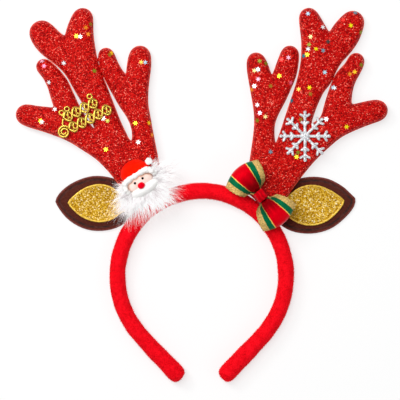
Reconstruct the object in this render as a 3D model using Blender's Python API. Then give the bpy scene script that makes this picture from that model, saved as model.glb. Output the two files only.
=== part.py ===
"""Reindeer antler headband, lying on its back.

Metres. +X runs to the right of the front view, +Y towards the antler tips and +Z out of the
front. The origin lies under the middle of the whole, on the surface that it rests on. The tables
are in millimetres in the same axes.
"""
import math

import bmesh
import bpy
from mathutils import Matrix, Vector
from mathutils.geometry import delaunay_2d_cdt

MM = 0.001
GAP = 0.3

# Hoop: the middle line is an arc that turns DROP degrees past level, then two straight legs.
# STRETCH draws everything below the middle out downwards.
HOOP_MIDDLE = Vector((0.0, -52.2))
HOOP_RADIUS = 55.2
HOOP_DROP = 44.5
HOOP_STRETCH = 1.03
LEG_LENGTH = 35.0
HOOP_HALF_WIDTH = 5.4
LEG_HALF_WIDTH = 6.0
HOOP_HALF_DEPTH = 6.0
HOOP_SIDES = 12
ARC_STEPS = 28
LEG_SHARES = (0.25, 0.6, 1.0)
# Rounded ends: how far past the leg, and the share of the full section left there.
END_ROUNDING = [(1.4, 0.88), (2.2, 0.55)]

# Rounded edges are narrower at tight corners: the share of the room there that they may take,
# and how far inside its own edge a point must be to count as across from another.
ROOM_SHARE = 0.7
CLOSEST = 0.001

# Antlers: padded slabs that lean from the stems, which meet the hoop at half its depth, to tips
# that touch the surface below.
ANTLER_THICK = 7.0
ANTLER_ROUNDING = 2.7
ROUNDING_IN = 0.2
ROUNDING_UP = 0.5
ANTLER_TIP_Y = 122.4
STEM_Y = 3.0
STEM_LIFT = 4.2
OUTLINE_STEP = 3.1
OUTLINE_EASE = 0.15

# Ears: felt leaves with glitter leaves on them, tucked under the curve of the hoop.
EAR_THICK = 2.0
EAR_INNER_THICK = 0.9
EAR_TUCK = 4.5
LEAF_STEP = 3.2
LEAF_EDGE = 0.25

# Fur and head, on the front of the hoop.
FUR_MIDDLE = Vector((-40.8, 11.1))
FUR_THICK = 3.0
FUR_CREST = 2.2
FUR_LOCKS = 34
FUR_VALLEY = 0.84
# A lock from its seat to its tip: share of the way, and share of the crest on ridge and valley.
FUR_LOCK = [(0.0, 0.0, 0.0), (0.3, 1.0, 0.45), (0.7, 0.5, -0.1)]
FUR_FULL_REACH = 16.0
FUR_SEAT_SHARE = 0.7
FUR_TIP = 1.0
FUR_ROOT = 0.1
HEAD_SEAT_RADIUS = 14.2
HEAD_MIDDLE = Vector((-38.8, 6.1))
HEAD_TILT = 32.0
HEAD_BACK = 0.6

# Pierced ornaments on the antler fronts.
CHARM_MIDDLE = Vector((-76.5, 50.8))
CHARM_TILT = 27.0
CHARM_THICK = 1.6
BRAID_BULGE = 6.0
BRAID_STEP = 1.7
SPIRAL_STEPS = 14
HALF_RING = 0.56
SNOWFLAKE_MIDDLE = Vector((66.9, 37.9))
SNOWFLAKE_THICK = 1.6
SNOWFLAKE_ARM = 16.5

# Bow: one ring of ribbon pinched in the middle by the knot.
BOW_MIDDLE = Vector((37.9, -0.3))
BOW_TURN = -49.5
BOW_FAN = 20.0
RIBBON_THICK = 1.0
KNOT_LENGTH = 7.4
KNOT_WALL = 1.2
KNOT_ROOM_CREST = 0.3
KNOT_SHOULDER = 0.2
KNOT_CREST = 1.2

# Limbs of the antlers from root to tip: x, y and half width of each section.
LEFT_LIMBS = {
    "side_tine": [
        (-33.0, -6.0, 8.5), (-35.0, 3.5, 11.5), (-42.0, 13.0, 13.0), (-51.0, 23.0, 12.3),
        (-62.0, 30.5, 9.9), (-72.7, 35.2, 7.5), (-84.5, 43.5, 8.5), (-100.5, 49.0, 8.0),
        (-106.5, 50.0, 7.4), (-114.5, 52.2, 6.8),
    ],
    "up_tine": [
        (-74.0, 35.0, 6.0), (-79.5, 44.5, 6.5), (-86.0, 54.0, 7.2), (-90.8, 64.0, 7.3),
        (-93.6, 71.7, 6.6), (-99.0, 80.0, 5.4), (-103.0, 83.8, 5.2),
    ],
    "main_left_lobe": [
        (-45.5, 17.5, 10.0), (-53.0, 29.0, 8.2), (-57.2, 37.8, 8.1), (-61.0, 45.0, 8.4),
        (-67.2, 59.7, 8.9), (-73.9, 72.9, 10.0), (-80.7, 83.5, 9.3), (-88.8, 91.0, 8.5),
        (-99.2, 99.5, 9.0), (-104.3, 105.7, 8.3),
    ],
    "main_right_lobe": [
        (-73.9, 72.9, 10.0), (-76.5, 84.0, 9.1), (-79.0, 94.5, 9.4), (-79.8, 104.5, 9.0),
        (-77.8, 115.3, 6.9),
    ],
    "inner_left_tine": [
        (-35.0, 2.0, 8.8), (-36.2, 16.3, 8.8), (-37.5, 29.3, 7.8), (-38.8, 43.0, 6.4),
        (-41.4, 52.7, 7.3), (-46.0, 63.0, 9.1), (-54.4, 73.2, 6.8), (-59.8, 82.7, 6.0),
        (-62.4, 91.0, 5.3),
    ],
    "inner_right_tine": [
        (-38.8, 43.0, 6.4), (-41.8, 56.6, 6.8), (-42.1, 70.3, 7.2), (-40.9, 83.9, 7.7),
        (-40.3, 90.4, 7.1),
    ],
}
RIGHT_LIMBS = {
    "side_tine": [
        (40.5, -5.0, 10.4), (44.4, 3.3, 11.7), (48.4, 10.8, 12.4), (56.1, 19.8, 11.7),
        (65.9, 29.5, 10.4), (77.5, 38.8, 9.1), (88.0, 46.1, 8.5), (104.5, 52.4, 7.6),
        (114.3, 55.0, 7.0),
    ],
    "up_tine": [
        (78.2, 36.5, 7.2), (84.0, 46.2, 7.3), (88.4, 57.9, 8.3), (90.6, 67.8, 7.3),
        (93.3, 75.5, 6.7), (98.8, 83.0, 5.5), (100.7, 87.4, 5.5),
    ],
    "main_left_lobe": [
        (51.0, 16.3, 10.4), (54.8, 27.4, 8.2), (58.3, 36.2, 8.2), (61.6, 45.3, 8.5),
        (65.7, 57.8, 8.5), (69.5, 67.8, 8.9), (74.4, 80.7, 10.5), (74.9, 90.4, 9.8),
        (74.6, 100.8, 9.5), (72.0, 109.3, 7.9), (69.9, 115.8, 6.5),
    ],
    "main_right_lobe": [
        (75.4, 76.1, 9.0), (82.5, 90.4, 9.0), (90.0, 99.0, 9.2), (94.7, 106.5, 9.3),
        (98.5, 112.7, 7.7),
    ],
    "inner_left_tine": [
        (37.0, -1.0, 8.5), (38.8, 9.8, 9.1), (40.1, 21.5, 8.8), (40.3, 31.9, 7.5),
        (40.4, 39.1, 6.6), (40.9, 47.5, 6.4), (41.4, 56.6, 7.5), (39.8, 68.3, 7.8),
        (36.8, 81.3, 7.1), (35.5, 86.9, 6.2),
    ],
    "inner_right_tine": [
        (40.9, 47.5, 6.4), (43.1, 56.6, 7.7), (47.9, 65.1, 7.5), (52.2, 73.9, 7.1),
        (54.8, 80.7, 7.2), (57.5, 91.6, 6.0),
    ],
}

# Leaves from the pointed tip to the round inner end: x, y and half width.
LEFT_EAR = [
    (-96.2, -4.0, 0.3), (-92.1, -3.9, 6.6), (-85.5, -4.3, 12.5), (-76.0, -5.0, 17.0),
    (-67.0, -5.4, 18.1), (-57.0, -5.6, 16.4), (-48.0, -5.6, 11.5), (-44.0, -5.6, 8.0),
]
RIGHT_EAR = [
    (100.9, -2.0, 0.3), (97.6, -3.3, 5.7), (92.5, -4.1, 10.7), (84.0, -5.1, 16.2),
    (74.5, -6.2, 18.5), (66.0, -7.0, 18.2), (57.0, -7.2, 16.0), (51.5, -7.5, 12.5),
    (48.0, -7.5, 8.0),
]
LEFT_EAR_INNER = [
    (-88.2, -4.7, 0.3), (-84.3, -4.9, 4.3), (-80.2, -5.1, 8.0), (-73.9, -5.2, 11.3),
    (-66.8, -5.2, 12.7), (-59.6, -5.4, 11.3), (-54.5, -5.4, 8.0), (-52.5, -5.4, 6.0),
]
RIGHT_EAR_INNER = [
    (93.8, -3.4, 0.3), (89.9, -4.3, 4.6), (85.3, -5.0, 8.5), (79.1, -5.9, 12.1),
    (71.7, -6.5, 13.5), (65.2, -7.0, 12.5), (59.5, -7.3, 9.6), (57.0, -7.3, 7.0),
]

# Reach of the fur from FUR_MIDDLE: degrees round from +X and millimetres.
FUR_REACH = [
    (0, 30.5), (15, 27.0), (30, 19.5), (45, 13.0), (60, 11.0), (160, 11.0), (190, 12.0),
    (205, 14.0), (220, 18.0), (235, 27.0), (248, 32.0), (260, 31.0), (275, 28.0), (290, 27.5),
    (310, 29.0), (330, 30.5), (360, 30.5),
]

# Lumps of the resin head in its own upright axes from the nose: name, x, y, z, half sizes.
HEAD_LUMPS = [
    ("cap", 1.2, 10.4, HEAD_BACK, 9.8, 7.2, 5.2),
    ("face", 0.2, 2.6, HEAD_BACK, 9.6, 6.0, 6.0),
    ("beard", 0.8, -2.9, HEAD_BACK, 10.4, 4.1, 5.8),
    ("nose", 0.0, 0.0, 6.2, 2.4, 2.2, 2.2),
    ("bobble", 12.2, 10.9, 1.4, 2.3, 2.3, 2.3),
    ("ball_left", -9.7, 0.9, 1.6, 1.8, 1.8, 1.8),
    ("ball_right", 11.1, 2.7, 1.6, 1.8, 1.8, 1.8),
]
# Brim of the cap, an arched roll: x, y, half width and half height.
HEAD_BRIM = [(-10.0, 3.4, 1.6, 5.3), (-8.8, 6.0, 2.1, 6.1), (-4.5, 7.3, 2.3, 6.4),
             (0.5, 7.6, 2.3, 6.4), (5.5, 7.4, 2.3, 6.4), (9.6, 6.2, 2.1, 6.1),
             (10.8, 4.0, 1.6, 5.3)]
BRIM_SIDES = 10

# Course of the ribbon from the knot to a fold and back: along the bow, height and half width.
BOW_COURSE = [
    (0.0, 0.6, 3.3), (4.6, 0.6, 3.6), (8.0, 0.7, 8.4), (12.0, 0.7, 10.7), (17.0, 0.8, 12.4),
    (21.5, 1.5, 13.3), (23.0, 3.6, 13.5), (22.3, 6.2, 13.4), (19.0, 8.6, 12.9),
    (15.0, 9.6, 11.8), (11.0, 9.2, 10.2), (7.5, 6.8, 8.0), (4.6, 2.9, 3.6), (0.0, 2.3, 3.3),
]

COLOURS = {
    "plush": ((0.80, 0.005, 0.02), 0.9, 0.0),
    "glitter_fabric": ((0.55, 0.01, 0.01), 0.45, 0.0),
    "felt": ((0.09, 0.025, 0.018), 0.95, 0.0),
    "gold_glitter": ((0.62, 0.42, 0.09), 0.35, 0.3),
    "fur": ((0.85, 0.82, 0.82), 0.9, 0.0),
    "painted_resin": ((0.90, 0.88, 0.86), 0.35, 0.0),
    "gold_metallised": ((0.80, 0.58, 0.16), 0.2, 1.0),
    "silver_glitter": ((0.75, 0.76, 0.78), 0.35, 0.4),
    "striped_ribbon": ((0.60, 0.01, 0.03), 0.4, 0.0),
}


def material(name):
    """Preview material of one finish."""
    found = bpy.data.materials.get(name)
    if found:
        return found
    colour, roughness, metallic = COLOURS[name]
    made = bpy.data.materials.new(name)
    made.use_nodes = True
    shader = made.node_tree.nodes["Principled BSDF"]
    shader.inputs["Base Color"].default_value = (*colour, 1.0)
    shader.inputs["Roughness"].default_value = roughness
    shader.inputs["Metallic"].default_value = metallic
    made.diffuse_color = (*colour, 1.0)
    return made


def add_object(name, mesh_data, finish, parent=None):
    """Link a bmesh in millimetres as a named object in metres."""
    bmesh.ops.scale(mesh_data, vec=(MM, MM, MM), verts=mesh_data.verts)
    bmesh.ops.recalc_face_normals(mesh_data, faces=mesh_data.faces)
    mesh = bpy.data.meshes.new(name)
    mesh_data.to_mesh(mesh)
    mesh_data.free()
    mesh.materials.append(material(finish))
    mesh.shade_smooth()
    mesh.set_sharp_from_angle(angle=math.radians(40))
    made = bpy.data.objects.new(name, mesh)
    made.parent = parent
    bpy.context.scene.collection.objects.link(made)
    return made


def loft(rings, closed=False):
    """Bridge rings of points into one skin, capped at both ends or closed on itself."""
    skin = bmesh.new()
    rows = [[skin.verts.new(point) for point in ring] for ring in rings]
    pairs = list(zip(rows, rows[1:] + rows[:1])) if closed else list(zip(rows, rows[1:]))
    for low, high in pairs:
        for i in range(len(low)):
            j = (i + 1) % len(low)
            skin.faces.new((low[i], low[j], high[j], high[i]))
    if not closed:
        caps = [skin.faces.new(reversed(rows[0])), skin.faces.new(rows[-1])]
        skin.normal_update()
        bmesh.ops.triangulate(skin, faces=caps, ngon_method="BEAUTY")
    return skin


def smooth_rows(rows, steps):
    """Catmull-Rom rows between the rows of a table, column by column."""
    padded = [rows[0], *rows, rows[-1]]
    result = []
    for before, start, end, after in zip(padded, padded[1:], padded[2:], padded[3:]):
        for step in range(steps):
            t = step / steps
            result.append(tuple(
                0.5 * (2 * q + (r - p) * t + (2 * p - 5 * q + 4 * r - s) * t * t
                       + (3 * q - p - 3 * r + s) * t ** 3)
                for p, q, r, s in zip(before, start, end, after)))
    result.append(tuple(rows[-1]))
    return result


def stroke(rows, cap_steps=4):
    """Outline of a band along rows of x, y and half width, with round ends, turning left."""
    points = [Vector(row[:2]) for row in rows]
    left, right = [], []
    for i, row in enumerate(rows):
        ahead = points[min(i + 1, len(points) - 1)] - points[max(i - 1, 0)]
        side = Vector((-ahead.y, ahead.x)).normalized() * row[2]
        left.append(points[i] + side)
        right.append(points[i] - side)
    turns = [Matrix.Rotation(math.pi * k / cap_steps, 2) for k in range(1, cap_steps)]
    tip = [points[-1] + turn @ (right[-1] - points[-1]) for turn in turns]
    root = [points[0] + turn @ (left[0] - points[0]) for turn in turns]
    return right + tip + left[::-1] + root


def union(outlines):
    """Flat union of outlines as points and triangles."""
    points = [point for outline in outlines for point in outline]
    faces = []
    for outline in outlines:
        start = faces[-1][-1] + 1 if faces else 0
        faces.append(list(range(start, start + len(outline))))
    corners, _, triangles, _, _, owners = delaunay_2d_cdt(points, [], faces, 0, 1e-4)
    kept = [triangle for triangle, owner in zip(triangles, owners) if owner]
    return corners, kept


def outer_loop(corners, triangles):
    """The longest boundary of a flat union, as a list of points."""
    uses = {}
    for a, b, c in triangles:
        for edge in ((a, b), (b, c), (c, a)):
            uses[edge] = True
    follow = {a: b for a, b in uses if (b, a) not in uses}
    loops = []
    while follow:
        start, at = follow.popitem()
        loop = [start]
        while at != start:
            loop.append(at)
            at = follow.pop(at)
        loops.append([Vector(corners[i]) for i in loop])
    return max(loops, key=perimeter)


def perimeter(loop):
    return sum((b - a).length for a, b in zip(loop, loop[1:] + loop[:1]))


def respaced(loop, step):
    """The same closed line with evenly spaced points, eased once."""
    count = round(perimeter(loop) / step)
    spacing = perimeter(loop) / count
    result, travelled, due = [], 0.0, 0.0
    for a, b in zip(loop, loop[1:] + loop[:1]):
        length = (b - a).length
        while due < travelled + length and len(result) < count:
            result.append(a.lerp(b, (due - travelled) / length))
            due += spacing
        travelled += length
    around = zip(result[-1:] + result[:-1], result, result[1:] + result[:1])
    return [here.lerp((before + after) / 2, 2 * OUTLINE_EASE) for before, here, after in around]


def pushed_out(loop, radius):
    """Points nearer to the hoop's middle than radius, moved out to it."""
    result = []
    for point in loop:
        arm = point - HOOP_MIDDLE
        result.append(HOOP_MIDDLE + arm.normalized() * max(arm.length, radius))
    return result


def room_inside(loop):
    """How far each point can move inwards before it meets another part of the line."""
    rooms = []
    for before, here, after in zip(loop[-1:] + loop[:-1], loop, loop[1:] + loop[:1]):
        inward = Vector((before.y - after.y, after.x - before.x)).normalized()
        rooms.append(min(((other - here).length_squared / (2 * inward.dot(other - here))
                          for other in loop if inward.dot(other - here) > CLOSEST),
                         default=perimeter(loop)))
    return rooms


def inset(loop, distances):
    """The closed line with each point moved inwards by its distance."""
    around = zip(loop[-1:] + loop[:-1], loop, loop[1:] + loop[:1], distances)
    return [here + Vector((before.y - after.y, after.x - before.x)).normalized() * distance
            for before, here, after, distance in around]


def slab(name, loop, levels, finish, parent=None):
    """Plate with a rounded edge, from levels of inset and height, narrower at tight corners."""
    deepest = max(depth for depth, _ in levels)
    shares = [min(1.0, ROOM_SHARE * room / deepest) for room in room_inside(loop)]
    shares = [min(trio) for trio in zip(shares[-1:] + shares[:-1], shares, shares[1:] + shares[:1])]
    shares = [sum(trio) / 3 for trio in zip(shares[-1:] + shares[:-1], shares,
                                            shares[1:] + shares[:1])]
    rings = [[(*point, height) for point in inset(loop, [depth * share for share in shares])]
             for depth, height in levels]
    return add_object(name, loft(rings), finish, parent)


def pierced_plate(name, outlines, thickness, base, finish, parent):
    """Plate of crossing bands, cut through where no band lies."""
    corners, triangles = union(outlines)
    used = sorted({i for triangle in triangles for i in triangle})
    plate = bmesh.new()
    verts = {i: plate.verts.new((*corners[i], base)) for i in used}
    faces = [plate.faces.new([verts[i] for i in triangle]) for triangle in triangles]
    raised = bmesh.ops.extrude_face_region(plate, geom=faces)["geom"]
    tops = [item for item in raised if isinstance(item, bmesh.types.BMVert)]
    bmesh.ops.translate(plate, vec=(0, 0, thickness), verts=tops)
    return add_object(name, plate, finish, parent)


def make_headband():
    """Plush tube: arc and legs as one course, with blunt rounded ends."""
    arc = math.radians(90 + HOOP_DROP)
    course = []
    for k in range(ARC_STEPS + 1):
        turn = arc * (2 * k / ARC_STEPS - 1)
        course.append((HOOP_MIDDLE + HOOP_RADIUS * Vector((math.sin(turn), math.cos(turn))),
                       Vector((math.cos(turn), -math.sin(turn))), HOOP_HALF_WIDTH, 1.0))
    for end, ahead in ((0, -1), (-1, 1)):
        foot, tangent, _, _ = course[end]
        leg = [(LEG_LENGTH * t, HOOP_HALF_WIDTH + (LEG_HALF_WIDTH - HOOP_HALF_WIDTH) * t, 1.0)
               for t in LEG_SHARES]
        leg += [(LEG_LENGTH + past, LEG_HALF_WIDTH * left, left) for past, left in END_ROUNDING]
        rows = [(foot + tangent * ahead * reach, tangent, half, depth)
                for reach, half, depth in leg]
        course = course + rows if ahead > 0 else rows[::-1] + course
    rings = []
    for point, tangent, half, depth in course:
        side = Vector((-tangent.y, tangent.x))
        ring = []
        for k in range(HOOP_SIDES):
            turn = 2 * math.pi * (k + 0.5) / HOOP_SIDES
            spot = point + side * half * math.cos(turn)
            drop = min(0.0, spot.y - HOOP_MIDDLE.y) * (HOOP_STRETCH - 1)
            ring.append((spot.x, spot.y + drop, HOOP_HALF_DEPTH * (1 + depth * math.sin(turn))))
        rings.append(ring)
    low = min(z for ring in rings for _, _, z in ring)
    rings = [[(x, y, (z - low) * HOOP_HALF_DEPTH / (HOOP_HALF_DEPTH - low)) for x, y, z in ring]
             for ring in rings]
    add_object("headband", loft(rings), "plush")


def make_antler(name, limbs, plane):
    """Padded slab over the flat union of its limbs, ended at the curve of the hoop."""
    outlines = [stroke(smooth_rows(rows, 3), 8) for rows in limbs.values()]
    stem_end = HOOP_RADIUS + HOOP_HALF_WIDTH + GAP
    loop = respaced(pushed_out(outer_loop(*union(outlines)), stem_end), OUTLINE_STEP)
    edge = ANTLER_ROUNDING
    middle = ANTLER_THICK / 2
    levels = [(edge, 0.0), (edge * ROUNDING_IN, edge * ROUNDING_UP), (0.0, middle),
              (edge * ROUNDING_IN, ANTLER_THICK - edge * ROUNDING_UP), (edge, ANTLER_THICK)]
    slab(name, loop, levels, "glitter_fabric", plane)


def make_leaf(name, rows, base, thickness, finish, tuck):
    """Flat leaf with its inner end cut to an arc about the hoop's middle."""
    loop = stroke(smooth_rows(rows, 3), 6)
    loop = respaced(pushed_out(loop, tuck), LEAF_STEP)
    edge = thickness * LEAF_EDGE
    levels = [(edge, base), (0.0, base + edge), (0.0, base + thickness - edge),
              (edge, base + thickness)]
    slab(name, loop, levels, finish)


def reach_at(degrees):
    """Reach of the fur in a direction, between the rows of its table."""
    for (start, near), (end, far) in zip(FUR_REACH, FUR_REACH[1:]):
        if start <= degrees <= end:
            return near + (far - near) * (degrees - start) / (end - start)
    return FUR_REACH[-1][1]


def make_fur():
    """Fan of locks round a flat seat for the head: a ridge and a valley for each lock."""
    base = 2 * HOOP_HALF_DEPTH + GAP
    count = 2 * FUR_LOCKS
    spokes = []
    for k in range(count):
        degrees = 360.0 * k / count
        ridge = k % 2 == 0
        reach = reach_at(degrees) * (1.0 if ridge else FUR_VALLEY)
        angle = math.radians(degrees)
        direction = Vector((math.cos(angle), math.sin(angle)))
        seat = min(HEAD_SEAT_RADIUS, reach * FUR_SEAT_SHARE)
        crest = FUR_CREST * max(0.0, (reach - HEAD_SEAT_RADIUS) / FUR_FULL_REACH)
        spoke = [(FUR_MIDDLE + direction * (seat + (reach - seat) * share),
                  FUR_THICK + crest * (on_ridge if ridge else in_valley))
                 for share, on_ridge, in_valley in FUR_LOCK]
        spokes.append([*spoke, (FUR_MIDDLE + direction * reach, FUR_TIP)])
    rings = [[(*spoke[0][0], base) for spoke in spokes],
             [(*spoke[-1][0], base + FUR_ROOT) for spoke in spokes]]
    for level in reversed(range(len(FUR_LOCK) + 1)):
        rings.append([(*spoke[level][0], base + spoke[level][1]) for spoke in spokes])
    add_object("fur_trim", loft(rings), "fur")


def lump(name, middle, halves):
    """Ball of the given half sizes."""
    ball = bmesh.new()
    bmesh.ops.create_uvsphere(ball, u_segments=12, v_segments=8, radius=1.0)
    bmesh.ops.scale(ball, vec=halves, verts=ball.verts)
    bmesh.ops.translate(ball, vec=middle, verts=ball.verts)
    return add_object(name, ball, "painted_resin")


def join(base, others):
    """Fuse solids into base with Boolean unions and remove them."""
    for other in others:
        cut = base.modifiers.new("union", "BOOLEAN")
        cut.operation = "UNION"
        cut.solver = "EXACT"
        cut.object = other
        bpy.context.view_layer.update()
        graph = bpy.context.evaluated_depsgraph_get()
        mesh = bpy.data.meshes.new_from_object(base.evaluated_get(graph))
        base.modifiers.remove(cut)
        base.data = mesh
        bpy.data.objects.remove(other)
    return base


def make_head():
    """One flat backed casting: round lumps fused, cut off level at the back."""
    lumps = {row[0]: lump(row[0], row[1:4], row[4:7]) for row in HEAD_LUMPS}
    brim_rings = []
    for i, (x, y, half, tall) in enumerate(HEAD_BRIM):
        before, after = HEAD_BRIM[max(i - 1, 0)], HEAD_BRIM[min(i + 1, len(HEAD_BRIM) - 1)]
        ahead = Vector((after[0] - before[0], after[1] - before[1])).normalized()
        side = Vector((-ahead.y, ahead.x, 0.0))
        turns = [2 * math.pi * k / BRIM_SIDES for k in range(BRIM_SIDES)]
        brim_rings.append([Vector((x, y, HEAD_BACK + tall * math.sin(turn)))
                           + side * half * math.cos(turn) for turn in turns])
    brim = add_object("brim", loft(brim_rings), "painted_resin")
    head = lumps.pop("face")
    head.name = "resin_head"
    join(head, [lumps.pop("beard"), brim, *lumps.values()])
    shape = bmesh.new()
    shape.from_mesh(head.data)
    cut = bmesh.ops.bisect_plane(shape, geom=shape.verts[:] + shape.edges[:] + shape.faces[:],
                                 plane_co=(0, 0, 0), plane_no=(0, 0, -1), clear_outer=True)
    rim = [item for item in cut["geom_cut"] if isinstance(item, bmesh.types.BMEdge)]
    bmesh.ops.contextual_create(shape, geom=rim)
    bmesh.ops.dissolve_degenerate(shape, dist=0.02 * MM, edges=shape.edges)
    bmesh.ops.triangulate(shape, faces=shape.faces)
    shape.to_mesh(head.data)
    shape.free()
    seat = 2 * HOOP_HALF_DEPTH + FUR_THICK + 2 * GAP
    head.matrix_world = (Matrix.Translation((HEAD_MIDDLE.x * MM, HEAD_MIDDLE.y * MM, seat * MM))
                         @ Matrix.Rotation(math.radians(HEAD_TILT), 4, "Z"))


def placed(rows, middle, turn):
    """Rows moved to the middle and turned by degrees."""
    spin = Matrix.Rotation(math.radians(turn), 2)
    return [(*(middle + spin @ Vector(row[:2])), row[2]) for row in rows]


def wave(start, end, height, swing, half):
    """Rows of one strand of a two strand braid."""
    steps = round((end - start) / BRAID_STEP)
    rows = []
    for k in range(steps + 1):
        along = start + (end - start) * k / steps
        bulge = math.sin(math.pi * (along - start) / BRAID_BULGE)
        rows.append((along, height + swing * bulge, half))
    return rows


def spiral(middle, outer, inner, start, turns, half):
    """Rows of a band that winds from the outer radius to the inner one."""
    steps = round(turns * SPIRAL_STEPS)
    rows = []
    for k in range(steps + 1):
        t = k / steps
        angle = math.radians(start) + 2 * math.pi * turns * t
        radius = outer + (inner - outer) * t
        rows.append((middle[0] + radius * math.cos(angle), middle[1] + radius * math.sin(angle),
                     half))
    return rows


def ring_bands(middle, radius, half):
    """An eyelet as two overlapping half rings."""
    return [spiral(middle, radius, radius, start, HALF_RING, half) for start in (0, 180)]


def make_charm(plane):
    """Two braided bars fused at their crests, a big spiral, an end curl and three eyelets."""
    bands = [
        wave(-12.0, 12.0, 4.7, 3.2, 0.85), wave(-12.0, 12.0, 4.7, -3.2, 0.85),
        wave(-12.0, 18.0, -3.1, 3.2, 0.85), wave(-12.0, 18.0, -3.1, -3.2, 0.85),
        spiral((-16.0, -3.4), 4.2, 1.0, 10, 1.9, 0.7),
        *ring_bands((9.2, 9.8), 1.5, 0.6),
        *ring_bands((-11.8, 8.6), 1.5, 0.6),
        *ring_bands((-7.6, 9.2), 1.5, 0.6),
        [(-12.6, 4.6, 0.8), (-14.6, 1.8, 0.8), (-14.4, -0.4, 0.8)],
        [(-12.2, 6.9, 0.6), (-12.0, 4.9, 0.7)],
    ]
    outlines = [stroke(placed(rows, CHARM_MIDDLE, CHARM_TILT), 4) for rows in bands]
    base = ANTLER_THICK + GAP
    pierced_plate("scroll_charm", outlines, CHARM_THICK, base, "gold_metallised", plane)


def make_snowflake(plane):
    """Four bars across and two pairs of barbs on each of the eight arms."""
    bands = []
    for k in range(4):
        bars = [(-SNOWFLAKE_ARM + 1.2, 0, 1.2), (-SNOWFLAKE_ARM + 3.5, 0, 0.95), (0, 0, 1.0),
                (SNOWFLAKE_ARM - 3.5, 0, 0.95), (SNOWFLAKE_ARM - 1.2, 0, 1.2)]
        bands.append(placed(bars, SNOWFLAKE_MIDDLE, 45 * k))
    for k in range(8):
        for inner, outer, spread in ((7.0, 9.4, 3.0), (12.2, 14.0, 2.9)):
            for side in (-1, 1):
                barb = [(inner, 0, 0.8), (outer, side * spread, 1.05)]
                bands.append(placed(barb, SNOWFLAKE_MIDDLE, 45 * k))
    outlines = [stroke(rows, 3) for rows in bands]
    base = ANTLER_THICK + GAP
    pierced_plate("snowflake", outlines, SNOWFLAKE_THICK, base, "silver_glitter", plane)


def make_bow():
    """Closed ring of ribbon pinched at the middle, and the band that wraps the pinch."""
    back = [(-along, height, half) for along, height, half in BOW_COURSE[:0:-1]]
    rows = smooth_closed([*BOW_COURSE[:-1], *back], 2)
    base = 2 * HOOP_HALF_DEPTH + GAP + KNOT_WALL + GAP
    rings = []
    for i, (along, height, half) in enumerate(rows):
        before, after = rows[i - 1], rows[(i + 1) % len(rows)]
        ahead = Vector((after[0] - before[0], after[1] - before[1])).normalized()
        across = Vector((-ahead.y, ahead.x)) * RIBBON_THICK / 2
        ring = []
        for side, shares in ((1, (1.0, 0.5, 0.0, -0.5, -1.0)), (-1, (-1.0, -0.5, 0.0, 0.5, 1.0))):
            for share in shares:
                width = half * share
                back = math.copysign(width * width / (2 * BOW_FAN), along) if along else 0.0
                ring.append((along - back + side * across.x, width,
                             base + height + side * across.y))
        rings.append(ring)
    place = (Matrix.Translation((BOW_MIDDLE.x * MM, BOW_MIDDLE.y * MM, 0))
             @ Matrix.Rotation(math.radians(BOW_TURN), 4, "Z"))
    bow = add_object("bow_ribbon", loft(rings, closed=True), "striped_ribbon")
    bow.matrix_world = place
    half_hole = BOW_COURSE[1][2] + GAP
    low, high = base - GAP, base + BOW_COURSE[-2][1] + RIBBON_THICK / 2 + GAP
    hole = [(-half_hole, low), (half_hole, low), (half_hole, high),
            (0.0, high + KNOT_ROOM_CREST), (-half_hole, high)]
    half_wall, shoulder = half_hole + KNOT_WALL, high + KNOT_SHOULDER
    wall = [(-half_wall, low - KNOT_WALL), (half_wall, low - KNOT_WALL),
            (half_wall, shoulder), (0.0, high + KNOT_WALL + KNOT_CREST), (-half_wall, shoulder)]
    half = KNOT_LENGTH / 2
    knot_rings = [[(along, y, z) for y, z in section]
                  for along, section in ((-half, hole), (-half, wall), (0.0, wall),
                                         (half, wall), (half, hole), (0.0, hole))]
    knot = add_object("bow_knot", loft(knot_rings, closed=True), "striped_ribbon")
    knot.matrix_world = place


def smooth_closed(rows, steps):
    """Catmull-Rom rows round a closed table."""
    count = len(rows)
    result = []
    for i in range(count):
        window = [rows[(i + k) % count] for k in (-1, 0, 1, 2)]
        for step in range(steps):
            t = step / steps
            result.append(tuple(
                0.5 * (2 * q + (r - p) * t + (2 * p - 5 * q + 4 * r - s) * t * t
                       + (3 * q - p - 3 * r + s) * t ** 3)
                for p, q, r, s in zip(*window)))
    return result


def main():
    for old in list(bpy.data.objects):
        bpy.data.objects.remove(old)
    plane = bpy.data.objects.new("antler_plane", None)
    bpy.context.scene.collection.objects.link(plane)
    lean = Matrix.Rotation(-math.atan2(STEM_LIFT, ANTLER_TIP_Y - STEM_Y), 4, "X")
    plane.matrix_world = (Matrix.Translation((0, ANTLER_TIP_Y * MM, 0)) @ lean
                          @ Matrix.Translation((0, -ANTLER_TIP_Y * MM, 0)))
    make_headband()
    make_antler("antler_left", LEFT_LIMBS, plane)
    make_antler("antler_right", RIGHT_LIMBS, plane)
    ear_edge = HOOP_RADIUS + EAR_TUCK
    inner_base = EAR_THICK + GAP
    make_leaf("ear_left", LEFT_EAR, 0.0, EAR_THICK, "felt", ear_edge)
    make_leaf("ear_right", RIGHT_EAR, 0.0, EAR_THICK, "felt", ear_edge)
    make_leaf("ear_inner_left", LEFT_EAR_INNER, inner_base, EAR_INNER_THICK, "gold_glitter",
              ear_edge)
    make_leaf("ear_inner_right", RIGHT_EAR_INNER, inner_base, EAR_INNER_THICK, "gold_glitter",
              ear_edge)
    make_fur()
    make_head()
    make_charm(plane)
    make_snowflake(plane)
    make_bow()


main()
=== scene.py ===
import math

import bpy
import numpy as np
from mathutils import Matrix, Vector, kdtree


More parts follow.
